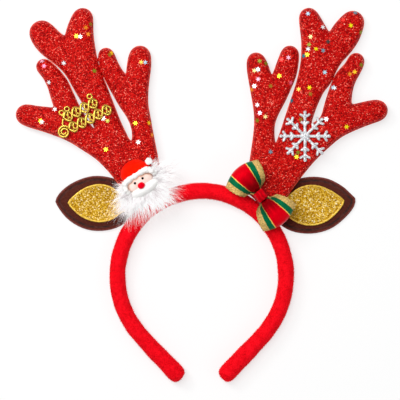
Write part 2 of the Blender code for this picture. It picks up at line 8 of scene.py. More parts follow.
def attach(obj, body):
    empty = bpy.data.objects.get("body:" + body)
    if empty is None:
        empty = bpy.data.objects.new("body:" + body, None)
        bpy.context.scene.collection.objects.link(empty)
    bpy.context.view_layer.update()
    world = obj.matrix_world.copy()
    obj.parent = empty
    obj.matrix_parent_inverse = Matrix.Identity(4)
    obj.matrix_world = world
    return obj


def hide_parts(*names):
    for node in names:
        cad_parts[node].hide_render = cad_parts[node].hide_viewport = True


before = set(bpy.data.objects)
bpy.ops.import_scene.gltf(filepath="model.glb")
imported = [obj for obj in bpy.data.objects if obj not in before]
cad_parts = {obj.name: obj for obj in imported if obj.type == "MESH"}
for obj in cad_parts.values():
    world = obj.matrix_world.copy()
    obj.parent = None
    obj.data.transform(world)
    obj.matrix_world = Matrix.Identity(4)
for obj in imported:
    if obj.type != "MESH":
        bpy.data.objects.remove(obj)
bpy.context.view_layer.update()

# Hoop. A springy plastic band inside a round foam tube, with red plush cloth sewn tight round
# it and closed at the two ends. The pile is short and stands up, so the outline is soft.
MM = 0.001


def colour(code):
    """An sRGB hex value as a linear colour."""
    parts = [int(code[i:i + 2], 16) / 255 for i in (0, 2, 4)]
    return (*[p / 12.92 if p <= 0.04045 else ((p + 0.055) / 1.055) ** 2.4 for p in parts], 1.0)


def node(tree, kind, settings=(), stops=(), **inputs):
    """Add a shader node: its settings, the stops of its ramp, and values or links by socket."""
    made = tree.nodes.new(kind)
    for name, value in dict(settings).items():
        setattr(made, name, value)
    for i, (place, tint) in enumerate(stops):
        elements = made.color_ramp.elements
        element = elements[i] if i < 2 else elements.new(place)
        element.position = place
        element.color = colour(tint)
    for name, value in inputs.items():
        key = int(name[1:]) if name[0] == "i" and name[1:].isdigit() else name.replace("_", " ")
        if isinstance(value, bpy.types.NodeSocket):
            tree.links.new(value, made.inputs[key])
        else:
            made.inputs[key].default_value = value
    return made


def new_material(name, **fixed):
    """A material with constants on its shader's sockets, its tree, shader and object places."""
    made = bpy.data.materials.new(name)
    made.use_nodes = True
    tree = made.node_tree
    shader = tree.nodes["Principled BSDF"]
    for socket, value in fixed.items():
        shader.inputs[socket.replace("_", " ")].default_value = value
    return made, tree, shader, node(tree, "ShaderNodeTexCoord").outputs["Object"]


def link(shader, **sockets):
    """Link outputs to the shader's sockets by name."""
    for name, output in sockets.items():
        shader.id_data.links.new(output, shader.inputs[name.replace("_", " ")])


def tinted(shader, value, stops):
    """Colour a material by a ramp of stops that this output runs along."""
    ramp = node(shader.id_data, "ShaderNodeValToRGB", stops=stops, Fac=value)
    link(shader, Base_Color=ramp.outputs["Color"])


def roughened(shader, value, low, high):
    """Make a material rougher from low to high as this output goes from 0 to 1."""
    spread = node(shader.id_data, "ShaderNodeMapRange", Value=value, To_Min=low, To_Max=high)
    link(shader, Roughness=spread.outputs["Result"])


def bumped(shader, height, strength, depth):
    """Raise a material's surface by this output."""
    bump = node(shader.id_data, "ShaderNodeBump", Strength=strength, Distance=depth,
                Height=height)
    link(shader, Normal=bump.outputs["Normal"])


def new_object(name, data):
    """A new object of this mesh, curve, lamp or camera, in the scene."""
    made = bpy.data.objects.new(name, data)
    bpy.context.scene.collection.objects.link(made)
    return made


def choose(piece):
    """Select this piece alone and make it the active one."""
    bpy.ops.object.select_all(action="DESELECT")
    piece.select_set(True)
    bpy.context.view_layer.objects.active = piece


def edit_all():
    """Open the active piece in edit mode with all of it selected."""
    bpy.ops.object.mode_set(mode="EDIT")
    bpy.ops.mesh.select_all(action="SELECT")


def solid_copy(node_name, name):
    """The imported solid's shape with its loose triangles merged, ready to be made soft."""
    piece = new_object(name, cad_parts[node_name].data.copy())
    piece.data.materials.clear()
    choose(piece)
    edit_all()
    bpy.ops.mesh.customdata_custom_splitnormals_clear()
    bpy.ops.mesh.remove_doubles(threshold=0.01 * MM)
    bpy.ops.mesh.tris_convert_to_quads()
    bpy.ops.object.mode_set(mode="OBJECT")
    return piece


def apply_modifier(piece, kind, **settings):
    """Give the piece one modifier and apply it."""
    choose(piece)
    modifier = piece.modifiers.new(kind.lower(), kind)
    for name, value in settings.items():
        setattr(modifier, name, value)
    bpy.ops.object.modifier_apply(modifier=modifier.name)


def vertex_array(piece):
    places = np.empty(len(piece.data.vertices) * 3)
    piece.data.vertices.foreach_get("co", places)
    return places.reshape(-1, 3)


def places_on(piece, count, seed):
    """Random places on a piece, even by area, with their outward directions."""
    mesh = piece.data
    mesh.calc_loop_triangles()
    corners = np.empty(len(mesh.loop_triangles) * 3, int)
    mesh.loop_triangles.foreach_get("vertices", corners)
    first, second, third = np.moveaxis(vertex_array(piece)[corners.reshape(-1, 3)], 1, 0)
    outward = np.cross(second - first, third - first)
    area = np.linalg.norm(outward, axis=1)
    rng = np.random.default_rng(seed)
    chosen = rng.choice(len(area), count, p=area / area.sum())
    u, v = rng.random((2, count, 1))
    over = u + v > 1
    u, v = np.where(over, 1 - u, u), np.where(over, 1 - v, v)
    first, second, third = first[chosen], second[chosen], third[chosen]
    outward = outward[chosen] / area[chosen, None]
    return first + (second - first) * u + (third - first) * v, outward


def strands(name, paths, width, finish, seed, tones=None):
    """Hairs as flat strips that taper to a point. paths holds strands, points and x, y, z."""
    count, steps, _ = paths.shape
    rng = np.random.default_rng(seed)
    side = np.cross(paths[:, -1] - paths[:, 0], rng.normal(size=(count, 3)))
    side /= np.linalg.norm(side, axis=1)[:, None]
    taper = 1 - np.linspace(0, 1, steps)[:-1] ** 2
    offset = side[:, None] * (width / 2 * taper)[None, :, None]
    body = paths[:, :-1]
    rows = np.concatenate([body - offset, body + offset, paths[:, -1:]], axis=1)
    per = 2 * steps - 1
    starts = np.arange(count)[:, None] * per
    faces = []
    for k in range(steps - 2):
        faces += (starts + [k, k + 1, steps + k, steps - 1 + k]).tolist()
    faces += (starts + [steps - 2, per - 1, 2 * steps - 3]).tolist()
    mesh = bpy.data.meshes.new(name)
    mesh.from_pydata(rows.reshape(-1, 3).tolist(), [], faces)
    mesh.materials.append(finish)
    mesh.shade_smooth()
    if tones is not None:
        mesh.attributes.new("tone", "FLOAT", "POINT").data.foreach_set("value", tones.repeat(per))
    return new_object(name, mesh)


# Polyester plush: dull and saturated, drawn paler in random patches as painted sheen where the
# nap catches the light. Tufts of the nap are 1 to 3 mm across, and the grain of the fibres is
# drawn
# 0.7 mm wide so that it shows.
plush, tree, shader, place = new_material("polyester_plush", Roughness=0.85, Sheen_Weight=0.2,
                                          Sheen_Roughness=0.4, Sheen_Tint=colour("ff2030"),
                                          Specular_IOR_Level=0.08)
nap = node(tree, "ShaderNodeTexNoise", Vector=place, Scale=1 / (3.3 * MM), Detail=3.0,
           Roughness=0.6)
grain = node(tree, "ShaderNodeTexNoise", Vector=place, Scale=1 / (0.7 * MM), Detail=1.0)
blend = node(tree, "ShaderNodeMix", i0=0.5, i2=nap.outputs["Fac"], i3=grain.outputs["Fac"])
tinted(shader, blend.outputs[0], [(0.34, "c4000c"), (0.46, "e20012"), (0.62, "f60a1e")])
bumped(shader, grain.outputs["Fac"], strength=0.5, depth=0.25 * MM)

hoop = solid_copy("headband", "plush_hoop")
apply_modifier(hoop, "SUBSURF", levels=2, render_levels=2)
# The two ends are rounded over their last 6 mm. The legs run inwards and down as they end.
ROUNDED = 6 * MM
places = vertex_array(hoop)
for side in (-1, 1):
    ahead = np.array((-side * 0.69, -0.724, 0.0))
    leg = np.flatnonzero((places[:, 0] * side > 0) & (places[:, 1] < -90 * MM))
    to_end = (places[leg] @ ahead).max() - places[leg] @ ahead
    middle = places[leg[(to_end > 8 * MM) & (to_end < 16 * MM)]].mean(0)
    on_axis = middle + ahead * ((places[leg] - middle) @ ahead)[:, None]
    share = 0.55 + 0.45 * np.sqrt(1 - (1 - np.clip(to_end / ROUNDED, 0, 1)) ** 2)
    places[leg] = on_axis + (places[leg] - on_axis) * share[:, None]
hoop.data.vertices.foreach_set("co", places.ravel())
dents = bpy.data.textures.new("foam_dents", "CLOUDS")
dents.noise_scale = 11 * MM
apply_modifier(hoop, "DISPLACE", texture=dents, texture_coords="LOCAL", strength=0.8 * MM,
               mid_level=0.45)
hoop.data.materials.append(plush)
hoop.data.shade_smooth()
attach(hoop, "root")
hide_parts("headband")

roots, outward = places_on(hoop, 45000, 3)
rng = np.random.default_rng(5)
lean = outward + rng.normal(size=roots.shape) * 0.55
lean /= np.linalg.norm(lean, axis=1)[:, None]
reach = rng.uniform(0.45, 1.0, (len(roots), 1)) * MM
pile = strands("plush_pile", np.stack([roots - outward * 0.1 * MM, roots + lean * reach], 1),
               0.12 * MM, plush, 6)
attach(pile, "root")


# Antlers. Two layers of red glitter cloth welded round the edge over wadding, stiffened by a
# wire, sewn to the hoop by their stems. The cloth swells between the welded edges.
# The stems stand 4.2 mm higher than the tips, 119.4 mm away.
LEAN_FROM_Y = 122.4 * MM
LEAN = -math.atan2(4.2, 119.4)
ANTLER_FRONT = 7.0 * MM
EDGE_RADIUS = 0.34 * MM


def select_where(piece, keep, kind="FACE"):
    """In edit mode, select the faces or vertices that keep() accepts."""
    bpy.ops.mesh.select_mode(type=kind)
    bpy.ops.mesh.select_all(action="DESELECT")
    bpy.ops.object.mode_set(mode="OBJECT")
    for item in piece.data.polygons if kind == "FACE" else piece.data.vertices:
        item.select = keep(item)
    bpy.ops.object.mode_set(mode="EDIT")


def swell(piece, voxel, slim, pressure, cap):
    """Fill the cloth: an even mesh, slimmer at first, blown up but held at its seam."""
    apply_modifier(piece, "DISPLACE", strength=-slim, mid_level=0.0)
    apply_modifier(piece, "REMESH", mode="VOXEL", voxel_size=voxel)
    apply_modifier(piece, "SMOOTH", factor=0.5, iterations=4)
    seam = piece.vertex_groups.new(name="seam")
    for point in piece.data.vertices:
        if abs(point.normal.z) < 0.5:
            seam.add([point.index], 1.0, "REPLACE")
    before = vertex_array(piece)
    cloth = piece.modifiers.new("cloth", "CLOTH")
    cloth.settings.quality = 4
    cloth.settings.mass = 0.05
    cloth.settings.use_pressure = True
    cloth.settings.uniform_pressure_force = pressure
    cloth.settings.vertex_group_mass = "seam"
    cloth.settings.effector_weights.gravity = 0.0
    cloth.point_cache.frame_end = 20
    for step in range(1, 21):
        bpy.context.scene.frame_set(step)
    bpy.ops.object.modifier_apply(modifier="cloth")
    bpy.context.scene.frame_set(1)
    moved = vertex_array(piece) - before
    length = np.maximum(np.linalg.norm(moved, axis=1), 1e-9)
    after = before + moved * np.minimum(1, cap / length)[:, None]
    piece.data.vertices.foreach_set("co", after.ravel())
    piece.vertex_groups.clear()
    apply_modifier(piece, "DISPLACE", strength=slim, mid_level=0.0)


# Glitter cloth: flat metallised polyester flakes glued on red cloth, each at its own angle. Each
# is drawn a random red, and a few are drawn pale as painted glints. Flakes of 0.4 mm are drawn
# 0.65 mm wide to show.
glitter_red, tree, shader, place = new_material("red_glitter_cloth", Specular_IOR_Level=0.4,
                                                Specular_Tint=colour("ff5048"))
flakes = node(tree, "ShaderNodeTexVoronoi", Vector=place, Scale=1 / (0.65 * MM))
fines = node(tree, "ShaderNodeTexVoronoi", Vector=place, Scale=1 / (0.37 * MM))
drift = node(tree, "ShaderNodeTexNoise", Vector=place, Scale=1 / (8.3 * MM), Detail=2.0)
flake = node(tree, "ShaderNodeSeparateColor", Color=flakes.outputs["Color"])
fine = node(tree, "ShaderNodeSeparateColor", Color=fines.outputs["Color"])
blend = node(tree, "ShaderNodeMix", i0=0.35, i2=flake.outputs["Red"], i3=fine.outputs["Red"])
shifted = node(tree, "ShaderNodeMix", i0=0.15, i2=blend.outputs[0], i3=drift.outputs["Fac"])
tinted(shader, shifted.outputs[0], [(0.1, "440000"), (0.26, "720204"), (0.4, "a00608"),
                                    (0.56, "be0a0a"), (0.7, "d0140f"), (0.82, "e45040"),
                                    (0.91, "ffb4a0")])
roughened(shader, fine.outputs["Green"], low=0.3, high=0.7)
bumped(shader, blend.outputs[0], strength=0.5, depth=0.3 * MM)


def mottled(name, size, stops, **fixed):
    """A finish whose one colour varies in soft patches of a size in millimetres."""
    made, tree, shader, place = new_material(name, **fixed)
    patches = node(tree, "ShaderNodeTexNoise", Vector=place, Scale=1 / (size * MM))
    tinted(shader, patches.outputs["Fac"], stops)
    return made


# The welded edge: the cloth melted to a smooth bead by the hot cutter, drawn paler, partly its
# own paler melt and partly painted light that lifts the shade on its rounded sides.
melted = mottled("melted_polyester_edge", 2.4, [(0.38, "b41410"), (0.62, "f06450")],
                 Roughness=0.45, Specular_IOR_Level=0.4, Specular_Tint=colour("ff7060"))

antlers = {}
for side in ("left", "right"):
    edge = solid_copy("antler_" + side, "welded_edge_" + side)
    bpy.ops.object.mode_set(mode="EDIT")
    bpy.ops.transform.rotate(value=LEAN, orient_axis="X", center_override=(0, LEAN_FROM_Y, 0))
    select_where(edge, lambda point: abs(point.co.z - ANTLER_FRONT / 2) > 0.3 * MM, "VERT")
    bpy.ops.mesh.delete(type="VERT")
    bpy.ops.mesh.select_all(action="SELECT")
    bpy.ops.transform.rotate(value=-LEAN, orient_axis="X", center_override=(0, LEAN_FROM_Y, 0))
    bpy.ops.object.mode_set(mode="OBJECT")
    apply_modifier(edge, "SUBSURF", levels=2, render_levels=2)
    bpy.ops.object.convert(target="CURVE")
    edge.data.bevel_depth = EDGE_RADIUS
    edge.data.bevel_resolution = 1
    bpy.ops.object.convert(target="MESH")
    edge = bpy.context.object
    edge.data.materials.clear()
    edge.data.materials.append(melted)
    edge.data.shade_smooth()
    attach(edge, "root")
    antler = solid_copy("antler_" + side, "glitter_antler_" + side)
    swell(antler, 1.1 * MM, 0.45 * MM, 4.0, 1.6 * MM)
    apply_modifier(antler, "SUBSURF", levels=1, render_levels=1)
    antler.data.materials.append(glitter_red)
    antler.data.shade_smooth()
    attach(antler, "root")
    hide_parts("antler_" + side)
    antlers[side] = antler


# Star sequins. Stamped foil stars 3.7 mm from point to point, silver, gold and dyed, glued here
# and there on the antler fronts, each a little tilted. Some lie over their neighbours.
STAR_RADIUS = 1.85 * MM
STAR_WAIST = 0.42
FOILS = {"silver": "f4f6f8", "gold": "ffc814", "yellow": "fff000", "cream": "fff0a0",
         "olive": "8a8a10", "bronze": "a07010", "orange": "f08a10", "pink": "ffc0d8",
         "rose": "f06080", "teal": "1088a0", "steel": "7890a0", "ice": "c0e8f8",
         "smoke": "403c38", "scarlet": "ff2010"}
# x and y in millimetres and the foil of each star.
STARS = {
    "left": [
        (-78.9, 103.0, "silver"), (-81.6, 103.5, "gold"), (-89.7, 85.9, "silver"),
        (-69.8, 80.7, "olive"), (-59.9, 91.2, "bronze"), (-58.9, 92.3, "gold"),
        (-36.7, 86.3, "steel"), (-39.3, 86.4, "orange"), (-99.2, 73.3, "silver"),
        (-103.9, 86.9, "pink"), (-102.5, 83.9, "rose"), (-95.3, 55.7, "silver"),
        (-103.8, 47.5, "silver"), (-104.6, 48.2, "yellow"), (-43.1, 46.7, "yellow"),
        (-34.4, 46.9, "gold"), (-32.5, 39.1, "orange"), (-41.2, 34.3, "silver"),
        (-64.0, 49.8, "silver"), (-61.1, 48.2, "olive"), (-62.2, 29.5, "yellow"),
        (-75.4, 109.0, "orange"), (-72.5, 111.2, "bronze"), (-73.8, 104.6, "orange"),
    ],
    "right": [
        (69.1, 118.1, "steel"), (78.7, 109.2, "silver"), (70.7, 103.0, "cream"),
        (69.7, 97.9, "olive"), (69.1, 95.0, "silver"), (74.2, 95.0, "yellow"),
        (78.9, 94.0, "steel"), (68.5, 91.3, "yellow"), (66.5, 90.5, "teal"),
        (82.1, 99.8, "smoke"), (96.9, 110.3, "yellow"), (99.9, 118.6, "steel"),
        (103.4, 106.1, "olive"), (92.2, 113.8, "scarlet"), (79.9, 79.8, "ice"),
        (69.8, 69.8, "yellow"), (63.0, 68.7, "orange"), (70.5, 65.7, "bronze"),
        (58.7, 61.3, "teal"), (56.3, 89.4, "pink"), (50.3, 77.4, "yellow"),
        (57.7, 73.1, "rose"), (34.1, 80.9, "cream"), (36.5, 81.7, "ice"),
        (37.6, 87.1, "olive"), (41.6, 85.7, "olive"), (36.6, 75.3, "pink"),
        (34.2, 70.9, "silver"), (32.7, 68.7, "orange"), (44.7, 70.9, "bronze"),
        (36.2, 58.6, "silver"), (37.7, 53.3, "pink"), (36.2, 48.5, "olive"),
        (41.3, 50.9, "cream"), (44.6, 28.0, "steel"), (94.0, 44.4, "yellow"),
        (80.8, 49.3, "silver"), (85.3, 69.9, "ice"), (86.2, 69.6, "silver"),
        (90.6, 82.7, "cream"), (103.5, 84.6, "olive"), (99.4, 80.1, "gold"),
        (96.2, 78.7, "orange"), (64.2, 49.1, "bronze"), (62.4, 27.7, "olive"),
        (61.5, 24.8, "yellow"), (54.0, 101.5, "scarlet"), (52.0, 88.0, "scarlet"),
    ],
}
foils = {}
for name, tint in FOILS.items():
    # Metallised polyester film: mirror bright with a slight waviness, so a flat star is one tone.
    foils[name], tree, shader, place = new_material("polyester_foil_" + name, Metallic=0.35,
                                                    Roughness=0.28, Base_Color=colour(tint))
    waves = node(tree, "ShaderNodeTexNoise", Vector=place, Scale=1 / (2.0 * MM))
    bumped(shader, waves.outputs["Fac"], strength=0.3, depth=0.2 * MM)


def joined(pieces, name):
    """Join pieces into the first of them and name it."""
    bpy.ops.object.select_all(action="DESELECT")
    for piece in pieces:
        piece.select_set(True)
    bpy.context.view_layer.objects.active = pieces[0]
    bpy.ops.object.join()
    pieces[0].name = name
    return pieces[0]


rng = np.random.default_rng(11)
for side, rows in STARS.items():
    made = []
    for x, y, foil in rows:
        _, spot, outward, _ = antlers[side].ray_cast((x * MM, y * MM, 0.1), (0, 0, -1))
        bpy.ops.object.select_all(action="DESELECT")
        bpy.ops.mesh.primitive_circle_add(vertices=12, radius=STAR_RADIUS, fill_type="NGON")
        star = bpy.context.object
        bpy.ops.object.mode_set(mode="EDIT")
        select_where(star, lambda point: point.index % 2 == 1, "VERT")
        bpy.ops.transform.resize(value=(STAR_WAIST, STAR_WAIST, 1))
        bpy.ops.mesh.select_all(action="SELECT")
        bpy.ops.mesh.extrude_region_move(TRANSFORM_OT_translate={"value": (0, 0, 0.1 * MM)})
        bpy.ops.object.mode_set(mode="OBJECT")
        star.data.materials.append(foils[foil])
        tilt = Vector(outward) + Vector(rng.normal(size=3)) * 0.1
        turn = tilt.to_track_quat("Z", "Y").to_matrix().to_4x4()
        spin = Matrix.Rotation(rng.uniform(0, math.tau), 4, "Z")
        star.data.transform(Matrix.Translation(spot + tilt * 0.25 * MM) @ turn @ spin)
        made.append(star)
    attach(joined(made, "star_sequins_" + side), "root")


# Ears. Leaves of brown felt with an embossed line inside the edge, glued behind the hoop, each
# with a smaller leaf of gold glitter cloth in a plain gold rim glued on its front.
# Wool felt: dull and matted, drawn as short fibres 0.8 mm wide that run along the ear.
felt, tree, shader, place = new_material("brown_felt", Roughness=0.95, Sheen_Weight=0.1,
                                         Sheen_Tint=colour("8a5040"), Specular_IOR_Level=0.1)
long_way = node(tree, "ShaderNodeMapping", Vector=place, Scale=(0.6, 1.0, 1.0))
streaks = node(tree, "ShaderNodeTexNoise", Vector=long_way.outputs["Vector"],
               Scale=1 / (0.77 * MM), Detail=5.0, Roughness=0.75)
tinted(shader, streaks.outputs["Fac"], [(0.3, "42190f"), (0.5, "4e231b"), (0.72, "5e2e25")])
bumped(shader, streaks.outputs["Fac"], strength=0.6, depth=0.3 * MM)
# The cut edge of the felt, fused and redder.
felt_edge = mottled("fused_felt_edge", 1.4, [(0.35, "581812"), (0.65, "782c20")], Roughness=0.8)
# The line pressed into the felt, drawn darker as painted shade in the groove.
felt_line = mottled("pressed_felt_line", 2.9, [(0.4, "260c08"), (0.65, "4c2018")], Roughness=0.95)
# Gold glitter cloth: coarse flakes, each drawn pale or brown at random, painted light and shade
# for flakes that face the light or turn away. Flakes of 0.5 mm are drawn 0.75 mm wide to show.
glitter_gold, tree, shader, place = new_material("gold_glitter_cloth", Specular_IOR_Level=0.3,
                                                 Specular_Tint=colour("ffd850"))
flakes = node(tree, "ShaderNodeTexVoronoi", Vector=place, Scale=1 / (0.75 * MM))
fines = node(tree, "ShaderNodeTexVoronoi", Vector=place, Scale=1 / (0.4 * MM))
flake = node(tree, "ShaderNodeSeparateColor", Color=flakes.outputs["Color"])
fine = node(tree, "ShaderNodeSeparateColor", Color=fines.outputs["Color"])
blend = node(tree, "ShaderNodeMix", i0=0.4, i2=flake.outputs["Red"], i3=fine.outputs["Red"])
tinted(shader, blend.outputs[0], [(0.1, "6e4608"), (0.28, "a8760e"), (0.44, "c4921c"),
                                  (0.64, "d8ac2c"), (0.78, "eccc68"), (0.9, "fff8d4")])
roughened(shader, fine.outputs["Green"], low=0.25, high=0.6)
bumped(shader, blend.outputs[0], strength=0.8, depth=0.4 * MM)
# Gold rim: the same cloth's welded edge, smooth and plain.
gold_rim = mottled("gold_welded_edge", 1.7, [(0.35, "c09020"), (0.65, "ecc848")], Metallic=0.3,
                   Roughness=0.4)


def press_line(piece, top, rows, base_slot):
    """Inset the front of a leaf in steps of width and depth, each with its material slot."""
    choose(piece)
    bpy.ops.object.mode_set(mode="EDIT")
    select_where(piece, lambda face: face.normal.z > 0.9 and face.center.z > top)
    for width, drop, slot_number in rows:
        bpy.ops.object.mode_set(mode="OBJECT")
        inner = {face.index for face in piece.data.polygons if face.select}
        bpy.ops.object.mode_set(mode="EDIT")
        bpy.ops.mesh.inset(thickness=width, depth=drop, use_boundary=True)
        bpy.ops.object.mode_set(mode="OBJECT")
        for face in piece.data.polygons:
            if face.index not in inner and face.index >= piece["faces"]:
                face.material_index = slot_number
        piece["faces"] = len(piece.data.polygons)
        bpy.ops.object.mode_set(mode="EDIT")
    bpy.ops.object.mode_set(mode="OBJECT")
    for face in piece.data.polygons:
        if face.select:
            face.material_index = base_slot
    del piece["faces"]


# Each side's leaf of felt and leaf of glitter cloth, as cut: width and length in metres.
LEAVES = {"left": ((0.0361, 0.0588), (0.0252, 0.0409)),
          "right": ((0.0373, 0.0601), (0.0268, 0.0428))}
for side, (ear_flat, inner_flat) in LEAVES.items():
    ear = solid_copy("ear_" + side, "felt_ear_" + side)
    for finish in (felt_edge, felt, felt_line):
        ear.data.materials.append(finish)
    ear["faces"] = len(ear.data.polygons)
    press_line(ear, 1.6 * MM, [(0.5 * MM, 0.0, 0), (1.0 * MM, 0.05 * MM, 1),
                               (0.35 * MM, -0.3 * MM, 2), (0.35 * MM, 0.0, 2),
                               (0.35 * MM, 0.3 * MM, 2)], 1)
    for face in ear.data.polygons:
        if face.normal.z < -0.5:
            face.material_index = 1
    ear.data.shade_smooth()
    ear.data.set_sharp_from_angle(angle=math.radians(50))
    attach(ear, "root")
    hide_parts("ear_" + side)
    inner = solid_copy("ear_inner_" + side, "glitter_leaf_" + side)
    for finish in (gold_rim, glitter_gold):
        inner.data.materials.append(finish)
    inner["faces"] = len(inner.data.polygons)
    press_line(inner, 2.9 * MM, [(0.5 * MM, 0.12 * MM, 0), (0.3 * MM, -0.15 * MM, 0)], 1)
    inner.data.shade_smooth()
    inner.data.set_sharp_from_angle(angle=math.radians(50))
    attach(inner, "root")
    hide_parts("ear_inner_" + side)
    for piece, flat, rest in ((ear, ear_flat, []), (inner, inner_flat, [ear.name])):
        piece.data.calc_loop_triangles()


# Fur trim. A patch of white long pile fur cloth glued on the front of the hoop, its hairs
# combed out in a fan below the head. They lie in locks, with stray hairs past the ends.
FUR_MIDDLE = np.array((-40.8, 11.1))
# Reach of the locks: degrees round from +x and millimetres.
FUR_DEGREES = [-155, -140, -125, -112, -100, -85, -70, -50, -30, 0, 15, 30, 42]
FUR_REACH = [14.0, 18.5, 25.5, 30.0, 29.5, 27.5, 27.0, 28.0, 28.5, 26.0, 24.5, 20.0, 14.0]
# Acrylic fur: white, each lock and hair drawn a random tone from white to pinkish grey, painted
# shade for the depth between them. The faint glow of its own stands in for the light that passes
# through the hairs.
fur_white, tree, shader, place = new_material("acrylic_fur", Roughness=0.6,
                                              Specular_IOR_Level=0.2, Emission_Strength=0.11,
                                              Emission_Color=colour("ffffff"))
shades = node(tree, "ShaderNodeTexNoise", Vector=place, Scale=1 / (2.9 * MM), Detail=2.0)
tone = node(tree, "ShaderNodeAttribute", {"attribute_name": "tone"}).outputs["Fac"]
blend = node(tree, "ShaderNodeMix", i0=0.75, i2=shades.outputs["Fac"], i3=tone)
tinted(shader, blend.outputs[0], [(0.15, "b8abae"), (0.42, "e6e2e3"), (0.62, "ffffff")])

# The cloth under the hairs has no tone, so it takes the darkest pinkish grey: painted shade.
backing = solid_copy("fur_trim", "fur_cloth")
edit_all()
bpy.ops.transform.resize(value=(0.72, 0.72, 1.0),
                         center_override=(FUR_MIDDLE[0] * MM, FUR_MIDDLE[1] * MM, 0.012))
bpy.ops.object.mode_set(mode="OBJECT")
apply_modifier(backing, "SUBSURF", levels=1, render_levels=1)
backing.data.materials.append(fur_white)
backing.data.shade_smooth()

LOCKS = 200
SIDE_LOCKS = 16
HAIRS_EACH = 46
HAIR_WIDTH = 0.19 * MM
rng = np.random.default_rng(21)
lock_turn = np.concatenate([rng.uniform(-158, 8, LOCKS - SIDE_LOCKS),
                            rng.uniform(8, 42, SIDE_LOCKS)])
layer = rng.random(LOCKS)
lock_full = np.interp(lock_turn, FUR_DEGREES, FUR_REACH)
lock_tip = lock_full * (1 - 0.36 * layer) * rng.uniform(0.78, 1.12, LOCKS)
lock_root = np.minimum(10.5 + 6.0 * (1 - layer), 0.68 * lock_tip)
lock_curl = rng.normal(0, 7.5, LOCKS)
lock_lift = 0.8 + 2.8 * layer + rng.uniform(0, 1.0, LOCKS)
lock = np.repeat(np.arange(LOCKS), HAIRS_EACH)
hairs = len(lock)
stray = rng.random(hairs) < 0.12
spread = rng.normal(0, 4.0, hairs)
tip_spread = np.where(stray, rng.normal(0, 9.0, hairs), rng.normal(0, 1.0, hairs))
tip_reach = lock_tip[lock] * np.where(stray, rng.uniform(0.85, 1.2, hairs),
                                      rng.uniform(0.76, 1.0, hairs))
root_reach = np.minimum(lock_root[lock] + rng.normal(0, 1.2, hairs), 0.8 * tip_reach)
lift = lock_lift[lock] + np.where(stray, rng.uniform(0, 1.8, hairs), rng.normal(0, 0.3, hairs))
steps = np.linspace(0, 1, 7)[None, :]
drawn = steps ** 0.8
degrees = (lock_turn[lock, None] + spread[:, None] * (1 - drawn) + tip_spread[:, None] * drawn
           + lock_curl[lock, None] * steps ** 2)
radius = root_reach[:, None] + (tip_reach - root_reach)[:, None] * steps
height = 14.6 + lift[:, None] * np.sin(steps * 0.85 * math.pi) - 1.6 * steps ** 2
paths = np.stack([FUR_MIDDLE[0] + radius * np.cos(np.radians(degrees)),
                  FUR_MIDDLE[1] + radius * np.sin(np.radians(degrees)), height], -1) * MM
hair_tone = 0.45 * rng.random(LOCKS)[lock] + 0.55 * rng.random(hairs)
fur = strands("fur_hairs", paths, HAIR_WIDTH, fur_white, 22, hair_tone)

# Fine stray hairs past the ends of the locks, each with its own bend.
STRAYS = 900
SIDE_STRAYS = 90
turn = np.concatenate([rng.uniform(-160, 25, STRAYS - SIDE_STRAYS),
                       rng.uniform(25, 52, SIDE_STRAYS)])
tip_reach = np.interp(turn, FUR_DEGREES, FUR_REACH) * rng.uniform(0.9, 1.28, STRAYS)
drift = rng.normal(0, 9.0, STRAYS)
bend = rng.normal(0, 6.0, STRAYS)
lift = rng.uniform(0.5, 4.5, STRAYS)
degrees = turn[:, None] + drift[:, None] * steps + bend[:, None] * np.sin(steps * math.pi)
radius = 12.0 + (tip_reach - 12.0)[:, None] * steps
height = 15.0 + lift[:, None] * np.sin(steps * 0.8 * math.pi) - 0.6 * steps
paths = np.stack([FUR_MIDDLE[0] + radius * np.cos(np.radians(degrees)),
                  FUR_MIDDLE[1] + radius * np.sin(np.radians(degrees)), height], -1) * MM
wisps = strands("fur_wisps", paths, HAIR_WIDTH, fur_white, 23, rng.uniform(0.3, 1, STRAYS))
for piece in (backing, fur, wisps):
    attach(piece, "root")
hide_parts("fur_trim")


# Resin head. A small cast of resin with a flat back, painted: red cap with a white rolled brim
# and bobble, pink face, black eyes, red nose and a plain white beard. Glued on the fur.
HEAD_PLACE = (Matrix.Translation((-38.8 * MM, 6.1 * MM, 15.6 * MM))
              @ Matrix.Rotation(math.radians(32), 4, "Z"))


def painted(name, code, second, rough):
    """Painted resin: gloss enamel over a slightly uneven cast, a little darker where the cast
    dips.
    """
    made, tree, shader, place = new_material(name, Roughness=rough, Specular_IOR_Level=0.35,
                                             Specular_Tint=colour(code))
    uneven = node(tree, "ShaderNodeTexNoise", Vector=place, Scale=1 / (3.8 * MM), Detail=2.0)
    tinted(shader, uneven.outputs["Fac"], [(0.35, second), (0.62, code)])
    bumped(shader, uneven.outputs["Fac"], strength=0.25, depth=0.25 * MM)
    return made


enamel = {
    "cap": painted("red_enamel", "fb1c04", "ee1202", 0.6),
    "white": painted("white_enamel", "f8f8f6", "eeeeec", 0.5),
    "skin": painted("pink_enamel", "fbe2d8", "f4d4c8", 0.5),
    "eye": painted("black_gloss_enamel", "0a0808", "000000", 0.15),
    "nose": painted("red_gloss_enamel", "f00420", "d80018", 0.12),
}


def ball(name, place, halves, finish, segments=24):
    """A ball at its place and size, in the head's own upright millimetres."""
    bpy.ops.object.select_all(action="DESELECT")
    bpy.ops.mesh.primitive_uv_sphere_add(segments=segments, ring_count=segments // 2,
                                         radius=MM, location=[v * MM for v in place],
                                         scale=halves)
    piece = bpy.context.object
    piece.name = name
    bpy.ops.object.transform_apply(location=True, rotation=True, scale=True)
    piece.data.materials.append(finish)
    return piece


def fused(name, pieces, voxel, smooth):
    """Join pieces and melt them into one cast skin."""
    piece = joined(pieces, name)
    apply_modifier(piece, "REMESH", mode="VOXEL", voxel_size=voxel)
    apply_modifier(piece, "SMOOTH", factor=0.5, iterations=smooth)
    return piece


